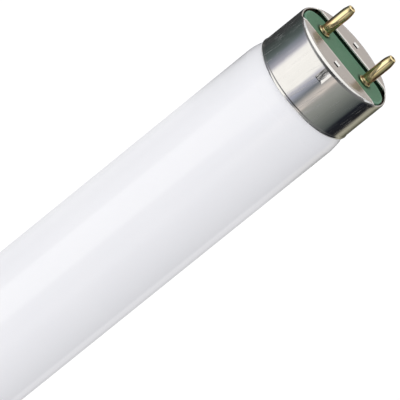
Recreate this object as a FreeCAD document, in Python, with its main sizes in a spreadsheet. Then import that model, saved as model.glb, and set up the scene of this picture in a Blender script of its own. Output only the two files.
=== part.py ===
import FreeCAD, Part
import os

import Sketcher

# A straight fluorescent tube of the 26 mm class with a two-pin cap on each end.
# Frame: millimetres, the tube lies along X with its middle at the origin, +Z is up,
# and the two pins of a cap stand side by side along Y.
# The pieces of a cap are drawn with the cap's outer face at x = 0 and the tube on the -X side.

# Driving dimensions, one row each: name, value, what it measures.
SIZES = (
    ("face_to_face", "589.8", "between the outer faces of the two caps"),
    ("glass_diameter", "25.8", "outside of the glass"),
    ("glass_wall", "0.6", "thickness of the glass"),
    ("shoulder_length", "3.6", "shoulder of the glass outside the cap"),
    ("shoulder_inside", "2.4", "shoulder of the glass inside the cap"),
    ("glass_setback", "5.4", "end of the glass behind the face"),
    ("glass_rim_radius", "0.3", "rounding of the end of the glass"),
    ("stem_bore", "7.2", "inside diameter of the glass stem"),
    ("stem_length", "24", "reach of the stem into the glass"),
    ("press_length", "6", "pinched end of the stem"),
    ("exhaust_diameter", "3.6", "sealed-off exhaust tube"),
    ("exhaust_setback", "2", "tip of the exhaust tube behind the end of the glass"),
    ("cap_inset", "0.5", "wall of the cap inside the outline of the glass"),
    ("cap_length", "11.5", "cap along the tube"),
    ("cap_sheet", "0.35", "thickness of the aluminium"),
    ("rim_radius", "1.3", "outside bend between face and wall"),
    ("lip_length", "0.72", "bead rolled at the rear edge, along the tube"),
    ("lip_bead_radius", "0.6", "round of the bead at the rear edge"),
    ("lip_flare", "0.17", "widening of the bore at the rear edge"),
    ("slot_width", "10.6", "slot across the face"),
    ("slot_margin", "0.45", "from the end of the slot to the outside of the wall"),
    ("slot_corner_radius", "2", "corners of the slot"),
    ("slit_offset", "8.3", "pierced slits from the middle of the face"),
    ("slit_skew", "0.26", "pierced slits beside the middle line"),
    ("slit_length", "1.3", "pierced slits along the slot"),
    ("slit_width", "2", "pierced slits across, at the face"),
    ("slit_slope_run", "0.43", "sloping sides of the slits across"),
    ("slit_slope_depth", "0.25", "sloping sides of the slits inwards"),
    ("recess_depth", "1.2", "recesses in the insulator behind the slits"),
    ("recess_margin", "0.8", "recesses beyond the edges of the slits"),
    ("punch_edge_radius", "0.17", "edge of the slot that the punch rolls over"),
    ("stake_setback", "1.05", "front of the staked dents behind the face"),
    ("stake_length", "2.75", "staked dents along the tube"),
    ("stake_skew", "0.85", "bottom of the dents beside the middle line"),
    ("stake_slow_run", "1.5", "long slope of the dents"),
    ("stake_steep_run", "0.75", "short slope of the dents"),
    ("stake_depth", "0.4", "depth of the dents"),
    ("stake_clearance", "0.1", "room for the dents in the insulator"),
    ("cement_thickness", "0.25", "cement between the glass and the cap"),
    ("cement_setback", "0.5", "cement behind the end of the glass"),
    ("insulator_clearance", "0.1", "insulator to the wall of the cap"),
    ("insulator_thickness", "2.6", "insulator from the face inwards"),
    ("groove_depth", "1.35", "groove around the bar"),
    ("groove_overhang", "0.6", "groove under the edge of the slot"),
    ("bar_width", "9.3", "raised bar in the slot"),
    ("bar_recess", "0.7", "top of the bar below the face"),
    ("bar_end_gap", "0.3", "end of the bar to the end of the slot"),
    ("bar_corner_radius", "4", "corners of the bar"),
    ("bar_edge_radius", "0.25", "rounded top edge of the bar"),
    ("pin_spacing", "12.7", "between the middles of the two pins"),
    ("pin_diameter", "2.35", "outside of a pin"),
    ("pin_reach", "7.1", "tip of a pin in front of the face"),
    ("pin_taper_length", "2.2", "bullet-shaped end of a pin"),
    ("pin_tip_diameter", "1.6", "end face of a pin"),
    ("pin_tip_radius", "0.3", "rounding of the end face"),
    ("pin_bore", "1.5", "hollow of a pin"),
    ("pin_tip_hole", "0.7", "hole left in the tip"),
    ("pin_crimp_length", "1.4", "narrowing of the hollow towards the tip"),
    ("pin_hole_clearance", "0.05", "pin to its hole in the insulator"),
    ("collar_rise", "0.27", "collar on the bar, outwards from the pin"),
    ("collar_bead_radius", "0.2", "round of the collar's edge"),
    ("collar_flare_radius", "0.8", "hollow round that leads from the pin into the collar"),
    ("rivet_diameter", "3.3", "riveted tail behind the insulator"),
    ("rivet_thickness", "0.4", "thickness of the riveted tail"),
    ("lead_diameter", "0.5", "lead wire"),
    ("lead_spacing", "5.4", "between the two leads in the stem"),
    ("lead_crossing", "5", "length of the bend from the stem to the pin"),
    ("lead_bend_gap", "0.3", "end of the bend behind the pin"),
    ("lead_tip_setback", "0.15", "end of the lead below the tip of the pin"),
)


class Size:
    """A measure: its value, and the expression over the sheet's cells that gives it."""

    def __init__(self, text, value):
        self.text = text
        self.value = value

    def join(self, sign, other, value):
        return Size(f"({self.text} {sign} {other.text})", value)

    def __add__(self, other):
        return self.join("+", other, self.value + other.value)

    def __sub__(self, other):
        return self.join("-", other, self.value - other.value)

    def __mul__(self, other):
        return self.join("*", other, self.value * other.value)

    def __truediv__(self, other):
        return self.join("/", other, self.value / other.value)

    def __neg__(self):
        return Size(f"-({self.text})", -self.value)

    def root(self):
        return Size(f"sqrt({self.text})", self.value ** 0.5)


doc = FreeCAD.newDocument("fluorescent_tube")
sheet = doc.addObject("Spreadsheet::Sheet", "Sizes")
size = {}
for row, (name, value, meaning) in enumerate(SIZES, start=1):
    sheet.set(f"A{row}", name)
    sheet.set(f"B{row}", value)
    sheet.set(f"C{row}", meaning)
    sheet.setAlias(f"B{row}", name)
    size[name] = Size(f"Sizes.{name}", float(value))
doc.recompute()

ZERO = Size("0", 0.0)
TWO = Size("2", 2.0)
FOUR = Size("4", 4.0)

# Sizes that follow from the driving dimensions.
glass_radius = size["glass_diameter"] / TWO
cap_radius = glass_radius - size["cap_inset"]
cap_bore = cap_radius - size["cap_sheet"]
neck_radius = cap_bore - size["cement_thickness"]
mouth_radius = neck_radius - size["glass_wall"]
stem_radius = size["stem_bore"] / TWO
exhaust_radius = size["exhaust_diameter"] / TWO
slot_end_radius = cap_radius - size["slot_margin"]
bar_end_radius = slot_end_radius - size["bar_end_gap"]
insulator_radius = cap_bore - size["insulator_clearance"]
insulator_back = -(size["cap_sheet"] + size["insulator_thickness"])
groove_floor = -(size["cap_sheet"] + size["groove_depth"])
rivet_back = insulator_back - size["rivet_thickness"]
pin_offset = size["pin_spacing"] / TWO
lead_offset = size["lead_spacing"] / TWO
stem_floor = size["press_length"] - size["stem_length"] - size["glass_setback"]
shoulder_front = size["shoulder_inside"] - size["cap_length"]
end_offset = size["face_to_face"] / TWO


def s_bend_radius(length, rise):
    """Radius of the two equal arcs that lead from one line to a parallel one."""
    return (length * length + rise * rise) / (FOUR * rise)


def origin_plane(body, role):
    """One of the body's own origin planes."""
    return next(plane for plane in body.Origin.OriginFeatures if plane.Role == role)


def new_body(label):
    """An empty body for one piece."""
    body = doc.addObject("PartDesign::Body", label)
    body.Label = label
    return body


def new_sketch(body, name, role, height=ZERO):
    """A sketch on one of the body's origin planes, raised along the plane's normal."""
    sketch = body.newObject("Sketcher::SketchObject", name)
    sketch.AttachmentSupport = [(origin_plane(body, role), "")]
    sketch.MapMode = "FlatFace"
    sketch.setExpression("AttachmentOffset.Base.z", height.text)
    return sketch


def bind(sketch, kind, references, measure):
    """Add a dimension to the sketch and bind it to the sheet."""
    number = sketch.addConstraint(Sketcher.Constraint(kind, *references, measure.value))
    sketch.setExpression(f"Constraints[{number}]", measure.text)


def pin_point(sketch, edge, end, across, up):
    """Fix one end of an edge at the given place; a zero measure puts it on that axis."""
    if across is ZERO:
        sketch.addConstraint(Sketcher.Constraint("PointOnObject", edge, end, -2))
    else:
        bind(sketch, "DistanceX", (-1, 1, edge, end), across)
    if up is ZERO:
        sketch.addConstraint(Sketcher.Constraint("PointOnObject", edge, end, -1))
    else:
        bind(sketch, "DistanceY", (-1, 1, edge, end), up)


def arc_between(start, finish, radius, turn):
    """The short arc from start to finish, to the left for a turn of 1, to the right for -1."""
    chord = finish - start
    middle = (start + finish) / 2
    side = FreeCAD.Vector(-chord.y, chord.x, 0).normalize()
    rise = max(radius * radius - chord.Length * chord.Length / 4, 0.0) ** 0.5
    centre = middle + side * (turn * rise)
    top = centre - side * (turn * radius)
    return Part.Arc(start, top, finish)


def draw_outline(sketch, corners, closed=True):
    """Lines and arcs through corners (across, up) or, where an arc follows, (across, up, radius, turn)."""
    places = [FreeCAD.Vector(corner[0].value, corner[1].value, 0) for corner in corners]
    count = len(corners) if closed else len(corners) - 1
    ends = []
    for index in range(count):
        corner = corners[index]
        start = places[index]
        finish = places[(index + 1) % len(places)]
        if len(corner) == 2:
            edge = sketch.addGeometry(Part.LineSegment(start, finish))
            ends.append((edge, 1, 2))
        else:
            edge = sketch.addGeometry(arc_between(start, finish, corner[2].value, corner[3]))
            ends.append((edge, 1, 2) if corner[3] > 0 else (edge, 2, 1))
    for index in range(count if closed else count - 1):
        edge, _, finish_end = ends[index]
        following, start_end, _ = ends[(index + 1) % len(ends)]
        sketch.addConstraint(Sketcher.Constraint("Coincident", edge, finish_end, following, start_end))
    for (edge, start_end, _), corner in zip(ends, corners):
        pin_point(sketch, edge, start_end, corner[0], corner[1])
        if len(corner) == 4:
            bind(sketch, "Radius", (edge,), corner[2])
    if not closed:
        pin_point(sketch, ends[-1][0], ends[-1][2], corners[-1][0], corners[-1][1])


def draw_slot(sketch, width, end_radius, corner_radius):
    """A bar across a disc: two straight sides and two ends that follow the disc, with round corners."""
    half = width.value / 2
    reach = end_radius.value
    round_off = corner_radius.value
    centre_up = half - round_off
    centre_across = ((reach - round_off) ** 2 - centre_up ** 2) ** 0.5
    outward = reach / (reach - round_off)

    def corner_places(side, level):
        middle = FreeCAD.Vector(side * centre_across, level * centre_up, 0)
        on_side = FreeCAD.Vector(side * centre_across, level * half, 0)
        return on_side, middle, middle * outward

    right_top, right_low = corner_places(1, 1), corner_places(1, -1)
    left_top, left_low = corner_places(-1, 1), corner_places(-1, -1)
    mid_right = FreeCAD.Vector(reach, 0, 0)

    def rounded(place):
        on_side, middle, on_end = place
        bulge = middle + (on_side + on_end - middle * 2).normalize() * round_off
        return on_side, bulge, on_end

    low = sketch.addGeometry(Part.LineSegment(left_low[0], right_low[0]))
    a_start, a_top, a_end = rounded(right_low)
    first = sketch.addGeometry(Part.Arc(a_start, a_top, a_end))
    right = sketch.addGeometry(Part.Arc(right_low[2], mid_right, right_top[2]))
    b_start, b_top, b_end = rounded(right_top)
    second = sketch.addGeometry(Part.Arc(b_end, b_top, b_start))
    top = sketch.addGeometry(Part.LineSegment(right_top[0], left_top[0]))
    c_start, c_top, c_end = rounded(left_top)
    third = sketch.addGeometry(Part.Arc(c_start, c_top, c_end))
    left = sketch.addGeometry(Part.Arc(left_top[2], -mid_right, left_low[2]))
    d_start, d_top, d_end = rounded(left_low)
    fourth = sketch.addGeometry(Part.Arc(d_end, d_top, d_start))
    ring = (low, first, right, second, top, third, left, fourth)
    for edge, following in zip(ring, ring[1:] + ring[:1]):
        sketch.addConstraint(Sketcher.Constraint("Tangent", edge, 2, following, 1))
    for end in (right, left):
        sketch.addConstraint(Sketcher.Constraint("Coincident", end, 3, -1, 1))
    bind(sketch, "Radius", (right,), end_radius)
    sketch.addConstraint(Sketcher.Constraint("Equal", right, left))
    bind(sketch, "Radius", (first,), corner_radius)
    for corner in (second, third, fourth):
        sketch.addConstraint(Sketcher.Constraint("Equal", first, corner))
    sketch.addConstraint(Sketcher.Constraint("Horizontal", low))
    sketch.addConstraint(Sketcher.Constraint("Horizontal", top))
    bind(sketch, "DistanceY", (-1, 1, top, 1), width / TWO)
    bind(sketch, "DistanceY", (low, 1, -1, 1), width / TWO)


def revolve(body, sketch, kind="PartDesign::Revolution"):
    """Turn a half outline round the X axis, to add it or, as a groove, to cut it away."""
    feature = body.newObject(kind, sketch.Name + "_turned")
    feature.Profile = sketch
    feature.ReferenceAxis = (sketch, ["H_Axis"])
    feature.Angle = 360
    return feature


def pad(body, sketch, height):
    """Raise an outline along the normal of its plane."""
    feature = body.newObject("PartDesign::Pad", sketch.Name + "_raised")
    feature.Profile = sketch
    feature.setExpression("Length", height.text)
    return feature


def pocket(body, sketch, depth=None):
    """Cut an outline against the normal of its plane, to a depth or right through."""
    feature = body.newObject("PartDesign::Pocket", sketch.Name + "_cut")
    feature.Profile = sketch
    if depth is None:
        feature.Type = "ThroughAll"
    else:
        feature.setExpression("Length", depth.text)
    return feature


def round_edges(body, base, edges, radius, name):
    """Round the given outer edges of the body's last feature, which takes a little away along them."""
    if not edges:
        raise RuntimeError(f"{name}: no edge to round")
    volume = base.Shape.Volume
    length = sum(base.Shape.getElement(edge).Length for edge in edges)
    feature = body.newObject("PartDesign::Fillet", name)
    feature.Base = (base, edges)
    feature.setExpression("Radius", radius.text)
    doc.recompute()
    taken = volume - feature.Shape.Volume
    if not 0 < taken < length * radius.value ** 2:
        raise RuntimeError(f"{name}: the rounding took away {taken:.2f} mm3")


def must_shrink(body, volume):
    """Stop if the last cut took nothing away, and give the volume that is left."""
    doc.recompute()
    if body.Shape.Volume > volume - 1e-6:
        raise RuntimeError(f"{body.Label}: {body.Tip.Label} cut nothing")
    return body.Shape.Volume


def cut_stakes(body, extra):
    """The two dents staked into the wall of the cap, deeper and longer at both ends by extra."""
    front = extra - size["stake_setback"]
    bottom = cap_radius - size["stake_depth"] - extra
    top = bottom + FOUR * size["stake_depth"]
    slow_side = FOUR * size["stake_slow_run"] - size["stake_skew"]
    steep_side = -(FOUR * size["stake_steep_run"]) - size["stake_skew"]
    section = [(-size["stake_skew"], bottom), (slow_side, top), (steep_side, top)]
    opposite = [(-across, -up) for across, up in section]
    for place, corners in (("upper", section), ("lower", opposite)):
        volume = body.Shape.Volume
        dent = new_sketch(body, f"{body.Label}_{place}_stake", "YZ_Plane", front)
        draw_outline(dent, corners)
        pocket(body, dent, size["stake_length"] + TWO * extra)
        must_shrink(body, volume)


def slit_middle(sign):
    """Middle of the upper slit for a sign of 1, of the lower one for -1: across and up."""
    if sign > 0:
        return -size["slit_skew"], size["slit_offset"]
    return size["slit_skew"], -size["slit_offset"]


def cut_slits(body):
    """The two slits pierced through the face of the cap, with sloping sides."""
    mouth = size["slit_width"] / TWO
    throat = mouth - size["slit_slope_run"]
    slope_end = -size["slit_slope_depth"]
    through = -(TWO * size["cap_sheet"])
    for place, sign in (("upper", 1), ("lower", -1)):
        skew, level = slit_middle(sign)
        start = size["slit_length"] / TWO - skew
        slit = new_sketch(body, f"{body.Label}_{place}_slit", "XZ_Plane", start)
        draw_outline(slit, [
            (ZERO, level - mouth),
            (slope_end, level - throat),
            (through, level - throat),
            (through, level + throat),
            (slope_end, level + throat),
            (ZERO, level + mouth),
        ])
        volume = body.Shape.Volume
        pocket(body, slit, size["slit_length"])
        must_shrink(body, volume)


def cut_recesses(body):
    """The recesses of the insulator behind the slits, wider than the slits all round."""
    along = size["slit_length"] / TWO + size["recess_margin"]
    across = size["slit_width"] / TWO - size["slit_slope_run"] + size["recess_margin"]
    for place, sign in (("upper", 1), ("lower", -1)):
        skew, level = slit_middle(sign)
        recess = new_sketch(body, f"{body.Label}_{place}_recess", "YZ_Plane")
        draw_outline(recess, [
            (skew - along, level - across),
            (skew + along, level - across),
            (skew + along, level + across),
            (skew - along, level + across),
        ])
        volume = body.Shape.Volume
        pocket(body, recess, size["cap_sheet"] + size["recess_depth"])
        must_shrink(body, volume)


def punched_edges(shape):
    """The outer edges of the slot: the upper edges of the walls that the punch left."""
    back = -size["cap_sheet"].value
    limit = -(size["stake_setback"] / TWO).value
    upper_edges = []
    for face in shape.Faces:
        box = face.BoundBox
        middle = face.Surface.parameter(face.CenterOfMass)
        upright = abs(face.normalAt(*middle).x) < 1e-4
        if upright and box.XMin < back and box.XMax > limit:
            upper_edges += [edge for edge in face.Edges if edge.BoundBox.XMin > limit]
    names = []
    for index, edge in enumerate(shape.Edges, start=1):
        if any(edge.isSame(upper) for upper in upper_edges):
            names.append(f"Edge{index}")
    return names


# Each end of the tube: name, the side of the middle it lies on, turn about Z.
ENDS = (("right", 1, 0), ("left", -1, 180))
# Each pin of a cap: name, side along Y in the lamp's frame.
SIDES = (("front", -1), ("rear", 1))


def place_on_end(piece, end_sign, turn, offset=None, offset_sign=1, flip=0):
    """Put a piece on one end of the tube; flip turns it over about the tube's axis."""
    about_z = FreeCAD.Rotation(FreeCAD.Vector(0, 0, 1), turn)
    about_x = FreeCAD.Rotation(FreeCAD.Vector(1, 0, 0), flip)
    piece.Placement = FreeCAD.Placement(FreeCAD.Vector(0, 0, 0), about_z.multiply(about_x))
    along = end_offset if end_sign > 0 else -end_offset
    piece.setExpression("Placement.Base.x", along.text)
    if offset is not None:
        across = offset if offset_sign > 0 else -offset
        piece.setExpression("Placement.Base.y", across.text)


def mirrored(corners):
    """The same outline on the other end of the tube, in reverse order."""
    result = []
    for index in range(len(corners) - 1, -1, -1):
        across, up = corners[index][:2]
        before = corners[index - 1] if index else ()
        arc = tuple(before[2:])
        result.append((-across, up) + arc)
    return result


def glass_tube():
    """The sealed glass: necked ends, a trumpet-shaped stem in each, one hollow inside."""
    body = new_body("glass_tube")
    wall = size["glass_wall"]
    rim = size["glass_rim_radius"]
    rise = glass_radius - neck_radius
    run = size["shoulder_length"] + size["shoulder_inside"]
    bend = s_bend_radius(run, rise)
    glass_end = end_offset - size["glass_setback"]
    shoulder_end = end_offset + shoulder_front
    shoulder_start = shoulder_end - run
    shoulder_middle = shoulder_end - run / TWO
    flare = mouth_radius - stem_radius
    floor = end_offset + stem_floor
    tip = glass_end - size["exhaust_setback"]

    outside = [
        (shoulder_start, glass_radius, bend, -1),
        (shoulder_middle, (glass_radius + neck_radius) / TWO, bend, 1),
        (shoulder_end, neck_radius),
        (glass_end - rim, neck_radius, rim, -1),
        (glass_end, neck_radius - rim),
        (glass_end, mouth_radius, flare, -1),
        (glass_end - flare, stem_radius),
        (floor, stem_radius),
        (floor, exhaust_radius),
        (tip - exhaust_radius, exhaust_radius, exhaust_radius, -1),
        (tip, ZERO),
    ]
    sketch = new_sketch(body, "glass_outside", "XY_Plane")
    draw_outline(sketch, outside + mirrored(outside))
    revolve(body, sketch)
    doc.recompute()
    volume = body.Shape.Volume

    stem_outside = stem_radius + wall
    stem_end = glass_end - size["stem_length"]
    inside = [
        (shoulder_start, glass_radius - wall, bend, -1),
        (shoulder_middle, (glass_radius + neck_radius) / TWO - wall, bend, 1),
        (shoulder_end, neck_radius - wall),
        (glass_end - wall, mouth_radius, flare - wall, -1),
        (glass_end - flare, stem_outside),
        (stem_end, stem_outside),
        (stem_end, ZERO),
    ]
    hollow = new_sketch(body, "glass_inside", "XY_Plane")
    draw_outline(hollow, inside + mirrored(inside))
    revolve(body, hollow, "PartDesign::Groove")
    must_shrink(body, volume)
    return body


def cap_shell(end, end_sign, turn):
    """The aluminium cup: the outer form less the room inside, both with the dents staked in."""
    sheet_gauge = size["cap_sheet"]
    outer = new_body(f"{end}_cap_outer_form")
    outline = new_sketch(outer, f"{end}_cap_outside", "XY_Plane")
    draw_outline(outline, [
        (-size["cap_length"], ZERO),
        (-size["cap_length"], cap_radius, size["lip_bead_radius"], -1),
        (size["lip_length"] - size["cap_length"], cap_radius),
        (-size["rim_radius"], cap_radius, size["rim_radius"], -1),
        (ZERO, cap_radius - size["rim_radius"]),
        (ZERO, ZERO),
    ])
    revolve(outer, outline)
    doc.recompute()
    cut_stakes(outer, ZERO)

    volume = outer.Shape.Volume
    slot = new_sketch(outer, f"{end}_cap_slot", "YZ_Plane")
    draw_slot(slot, size["slot_width"], slot_end_radius, size["slot_corner_radius"])
    punched = pocket(outer, slot)
    must_shrink(outer, volume)
    edges = punched_edges(punched.Shape)
    round_edges(outer, punched, edges, size["punch_edge_radius"], f"{end}_punched_edge")
    cut_slits(outer)

    inner = new_body(f"{end}_cap_room_inside")
    room = new_sketch(inner, f"{end}_cap_inside", "XY_Plane")
    draw_outline(room, [
        (-size["cap_length"] - sheet_gauge, ZERO),
        (-size["cap_length"] - sheet_gauge, cap_bore + size["lip_flare"]),
        (-size["cap_length"], cap_bore + size["lip_flare"]),
        (size["lip_length"] - size["cap_length"], cap_bore),
        (-size["rim_radius"], cap_bore, size["rim_radius"] - sheet_gauge, -1),
        (-sheet_gauge, cap_radius - size["rim_radius"]),
        (-sheet_gauge, ZERO),
    ])
    revolve(inner, room)
    doc.recompute()
    cut_stakes(inner, sheet_gauge)

    shell = doc.addObject("Part::Cut", f"{end}_cap_shell")
    shell.Label = f"{end}_cap_shell"
    shell.Base = outer
    shell.Tool = inner
    place_on_end(shell, end_sign, turn)
    return shell


def insulator(end, end_sign, turn):
    """The moulded plate: it seats behind the face, and its bar stands in a groove in the slot."""
    body = new_body(f"{end}_insulator")
    corner = size["rim_radius"]
    front = -size["cap_sheet"]
    outline = new_sketch(body, f"{end}_plate", "XY_Plane")
    draw_outline(outline, [
        (insulator_back, ZERO),
        (insulator_back, insulator_radius),
        (front - corner, insulator_radius, corner, -1),
        (front, insulator_radius - corner),
        (front, ZERO),
    ])
    revolve(body, outline)
    doc.recompute()
    cut_stakes(body, size["cap_sheet"] + size["stake_clearance"])
    cut_recesses(body)

    volume = body.Shape.Volume
    groove_edge = size["slot_width"] / TWO + size["groove_overhang"]
    groove = new_sketch(body, f"{end}_groove", "YZ_Plane")
    draw_outline(groove, [
        (-cap_radius, -groove_edge),
        (cap_radius, -groove_edge),
        (cap_radius, groove_edge),
        (-cap_radius, groove_edge),
    ])
    pocket(body, groove, -groove_floor)
    must_shrink(body, volume)

    bar_top = -size["bar_recess"]
    bar = new_sketch(body, f"{end}_bar", "YZ_Plane", groove_floor)
    draw_slot(bar, size["bar_width"], bar_end_radius, size["bar_corner_radius"])
    raised = pad(body, bar, bar_top - groove_floor)
    doc.recompute()
    top_edges = []
    for index, edge in enumerate(raised.Shape.Edges, start=1):
        if all(abs(vertex.X - bar_top.value) < 1e-4 for vertex in edge.Vertexes):
            top_edges.append(f"Edge{index}")
    round_edges(body, raised, top_edges, size["bar_edge_radius"], f"{end}_bar_edge")

    volume = body.Shape.Volume
    holes = new_sketch(body, f"{end}_pin_holes", "YZ_Plane")
    for side in (pin_offset, -pin_offset):
        centre = FreeCAD.Vector(side.value, 0, 0)
        radius = size["pin_diameter"] / TWO + size["pin_hole_clearance"]
        circle = holes.addGeometry(Part.Circle(centre, FreeCAD.Vector(0, 0, 1), radius.value))
        pin_point(holes, circle, 3, side, ZERO)
        bind(holes, "Radius", (circle,), radius)
    pocket(body, holes)
    must_shrink(body, volume)
    place_on_end(body, end_sign, turn)
    return body


def cement_ring(end, end_sign, turn):
    """The cement that fills the space between the neck of the glass and the cap."""
    body = new_body(f"{end}_cement_ring")
    front = -(size["glass_setback"] + size["cement_setback"])
    section = new_sketch(body, f"{end}_cement_section", "XY_Plane")
    draw_outline(section, [
        (shoulder_front, neck_radius),
        (front, neck_radius),
        (front, cap_bore),
        (shoulder_front, cap_bore),
    ])
    revolve(body, section)
    place_on_end(body, end_sign, turn)
    return body


def contact_pin(end, end_sign, turn, side, side_sign):
    """The hollow brass pin: riveted tail, flared collar on the bar, straight shaft and bullet-shaped end."""
    body = new_body(f"{end}_{side}_pin")
    radius = size["pin_diameter"] / TWO
    bore = size["pin_bore"] / TWO
    hole = size["pin_tip_hole"] / TWO
    end_face = size["pin_tip_diameter"] / TWO
    rivet = size["rivet_diameter"] / TWO
    tip = size["pin_reach"]
    taper = size["pin_taper_length"]
    drop = radius - end_face
    bullet = (taper * taper + drop * drop) / (TWO * drop)
    seat = -size["bar_recess"]
    collar = radius + size["collar_rise"]
    bead = size["collar_bead_radius"]
    flare = size["collar_flare_radius"]
    drop_to_bead = flare - size["collar_rise"] + bead
    span = ((flare + bead) * (flare + bead) - drop_to_bead * drop_to_bead).root()
    share = bead / (flare + bead)
    bead_middle = seat + bead
    section = new_sketch(body, f"{end}_{side}_pin_section", "XY_Plane")
    draw_outline(section, [
        (rivet_back, bore),
        (tip - size["pin_crimp_length"], bore),
        (tip, hole),
        (tip, end_face, bullet, 1),
        (tip - taper, radius),
        (bead_middle + span, radius, flare, -1),
        (bead_middle + span * share, collar - bead + drop_to_bead * share, bead, 1),
        (bead_middle, collar, bead, 1),
        (seat, collar - bead),
        (seat, radius),
        (insulator_back, radius),
        (insulator_back, rivet),
        (rivet_back, rivet),
    ])
    turned = revolve(body, section)
    doc.recompute()
    tip_edges = []
    for index, edge in enumerate(turned.Shape.Edges, start=1):
        box = edge.BoundBox
        if box.XMin > tip.value - 1e-4 and abs(box.YMax - end_face.value) < 1e-4:
            tip_edges.append(f"Edge{index}")
    round_edges(body, turned, tip_edges, size["pin_tip_radius"], f"{end}_{side}_pin_tip")
    place_on_end(body, end_sign, turn, pin_offset, side_sign)
    return body


def lead_wire(end, end_sign, turn, side, side_sign):
    """The lead: straight out of the stem, across to the pin, and through the pin to its tip."""
    body = new_body(f"{end}_{side}_lead")
    rise = pin_offset - lead_offset
    bend_end = rivet_back - size["lead_bend_gap"]
    bend_start = bend_end - size["lead_crossing"]
    bend_middle = bend_end - size["lead_crossing"] / TWO
    bend = s_bend_radius(size["lead_crossing"], rise)
    finish = size["pin_reach"] - size["lead_tip_setback"]
    route = new_sketch(body, f"{end}_{side}_lead_route", "XY_Plane")
    draw_outline(route, [
        (stem_floor, lead_offset),
        (bend_start, lead_offset, bend, 1),
        (bend_middle, (lead_offset + pin_offset) / TWO, bend, -1),
        (bend_end, pin_offset),
        (finish, pin_offset),
    ], closed=False)
    section = new_sketch(body, f"{end}_{side}_lead_section", "YZ_Plane", stem_floor)
    radius = size["lead_diameter"] / TWO
    centre = FreeCAD.Vector(lead_offset.value, 0, 0)
    circle = section.addGeometry(Part.Circle(centre, FreeCAD.Vector(0, 0, 1), radius.value))
    pin_point(section, circle, 3, lead_offset, ZERO)
    bind(section, "Radius", (circle,), radius)
    doc.recompute()
    wire = body.newObject("PartDesign::AdditivePipe", f"{end}_{side}_lead_wire")
    wire.Profile = section
    wire.Spine = (route, [f"Edge{index}" for index in range(1, len(route.Shape.Edges) + 1)])
    flip = 180 if side_sign * end_sign < 0 else 0
    place_on_end(body, end_sign, turn, flip=flip)
    return body


pieces = [glass_tube()]
for end, end_sign, turn in ENDS:
    pieces.append(cap_shell(end, end_sign, turn))
    pieces.append(insulator(end, end_sign, turn))
    pieces.append(cement_ring(end, end_sign, turn))
    for side, side_sign in SIDES:
        pieces.append(contact_pin(end, end_sign, turn, side, side_sign))
        pieces.append(lead_wire(end, end_sign, turn, side, side_sign))
doc.recompute()

for item in doc.Objects:
    if "Invalid" in item.State or "Error" in item.State:
        raise RuntimeError(f"{item.Label} failed: {item.State}")
for piece in pieces:
    if piece.Shape.isNull() or not piece.Shape.isValid() or len(piece.Shape.Solids) != 1:
        raise RuntimeError(f"{piece.Label} is not one valid solid")

os.makedirs("parts", exist_ok=True)
for piece in pieces:
    piece.Shape.exportStep(f"parts/{piece.Label}.step")
    box = piece.Shape.BoundBox
    print(f"{piece.Label}: {piece.Shape.Volume:.2f} mm3, x {box.XMin:.2f} to {box.XMax:.2f}")
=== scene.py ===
# %% [markdown]
# # A fluorescent tube in a photographer's light tent
#
# The object is a straight fluorescent tube: a long white glass bulb with an aluminium cap on each
# end. A green insulating bar shows through a slot in the face of the cap, and two brass pins stand
# on it. The solids come from the CAD model. They are loaded first, in metres, and stay where they
# are: the tube lies along X, its middle is the origin, and the end that the camera sees is at +X.
# This script gives every piece its finish, and builds the studio that the metal and glass reflect.

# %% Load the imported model
import math

import bmesh
import bpy
from mathutils import Matrix, Vector


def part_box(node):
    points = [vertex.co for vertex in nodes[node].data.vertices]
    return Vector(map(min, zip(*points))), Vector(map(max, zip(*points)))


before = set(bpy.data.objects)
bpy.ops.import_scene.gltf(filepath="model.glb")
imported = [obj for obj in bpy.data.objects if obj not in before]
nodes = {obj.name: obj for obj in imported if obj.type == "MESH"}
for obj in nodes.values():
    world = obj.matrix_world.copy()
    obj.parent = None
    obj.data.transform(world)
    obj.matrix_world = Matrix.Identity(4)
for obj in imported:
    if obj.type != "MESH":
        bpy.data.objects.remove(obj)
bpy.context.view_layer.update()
MM = 0.001
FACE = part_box("right_cap_shell")[1][0]
print("loaded", len(nodes), "pieces; the cap faces are at x =", round(FACE / MM, 2), "mm and its mirror")

# %% [markdown]
# ## Helpers for node materials
#
# A material is a graph of nodes. It could be built by hand in the shader editor, but a script can
# be read and run again. Nearly every line that builds a graph makes one node, sets a few options
# and joins its inputs, so a few small helpers do that: an input is either a plain value or the
# output of another node.

# %% Helpers: make a node, start a material
def plug(tree, socket, value):
    """Give an input a value, or join it to another node's output."""
    if isinstance(value, bpy.types.NodeSocket):
        tree.links.new(value, socket)
    else:
        socket.default_value = value


def add_node(tree, kind, inputs=None, **options):
    """Make a shader node with its options and inputs."""
    made = tree.nodes.new("ShaderNode" + kind)
    for name, value in options.items():
        setattr(made, name, value)
    for key, value in (inputs or {}).items():
        plug(tree, made.inputs[key], value)
    return made


def math_node(tree, operation, first, second=0.0):
    """The result of one sum on one or two values."""
    return add_node(tree, "Math", {0: first, 1: second}, operation=operation).outputs[0]


def new_material(name):
    """An empty material, its graph, and the output node."""
    material = bpy.data.materials.new(name)
    material.use_nodes = True
    tree = material.node_tree
    tree.nodes.clear()
    return material, tree, tree.nodes.new("ShaderNodeOutputMaterial")


print("helpers for nodes ready")

# %% [markdown]
# ## Helpers for masks
#
# A mask is a value from 0 to 1 that says where an effect shows. Masks could be painted on each
# piece by hand. Here they are worked out from the place of a point on the piece, in metres, so they
# keep to the sizes of the CAD model, and nothing has to be unwrapped.

# %% Helpers: places, masks and ramps
def object_place(tree):
    """The place of a point in the object's own frame, in metres."""
    return add_node(tree, "TexCoord").outputs["Object"]


def length_of(tree, vector):
    """The length of a vector."""
    return add_node(tree, "VectorMath", {0: vector}, operation="LENGTH").outputs["Value"]


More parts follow.
